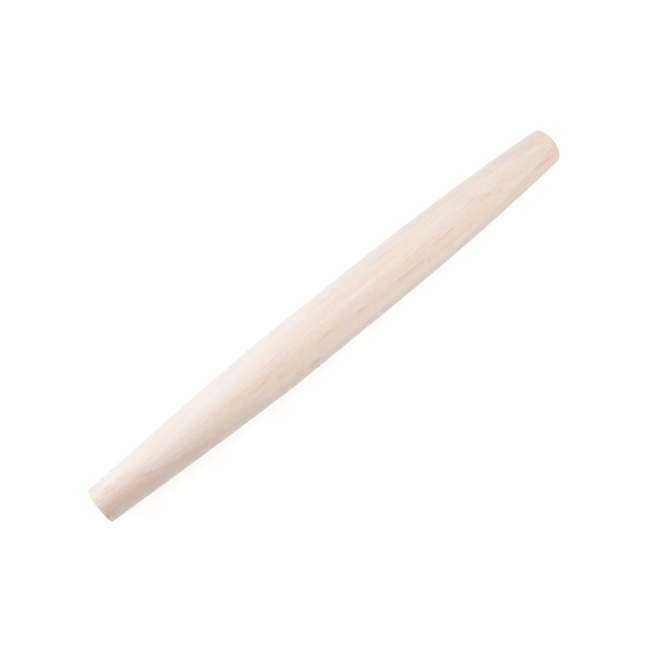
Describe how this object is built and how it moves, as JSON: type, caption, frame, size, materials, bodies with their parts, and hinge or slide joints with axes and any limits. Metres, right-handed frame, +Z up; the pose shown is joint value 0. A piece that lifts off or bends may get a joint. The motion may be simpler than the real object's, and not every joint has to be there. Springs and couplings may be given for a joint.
{
  "type": "french rolling pin",
  "caption": "Solid wooden rolling pin without handles: a straight round barrel between long tapers that end in small flat faces, rolled under the palms to thin dough.",
  "frame": {"origin": "on the pin's axis, midway between its two end faces; a worktop that the pin lies on is at Z -22.35 mm", "axes": "+X along the pin's axis to the stout end face, -X to the slim end face, +Z up as the pin lies on a worktop"},
  "size_m": [0.457, 0.0446, 0.0447],
  "materials": {
    "pale_wood": "matte"
  },
  "bodies": {
    "root": {"turned_pin": "pale_wood"}
  },
  "joints": []
}
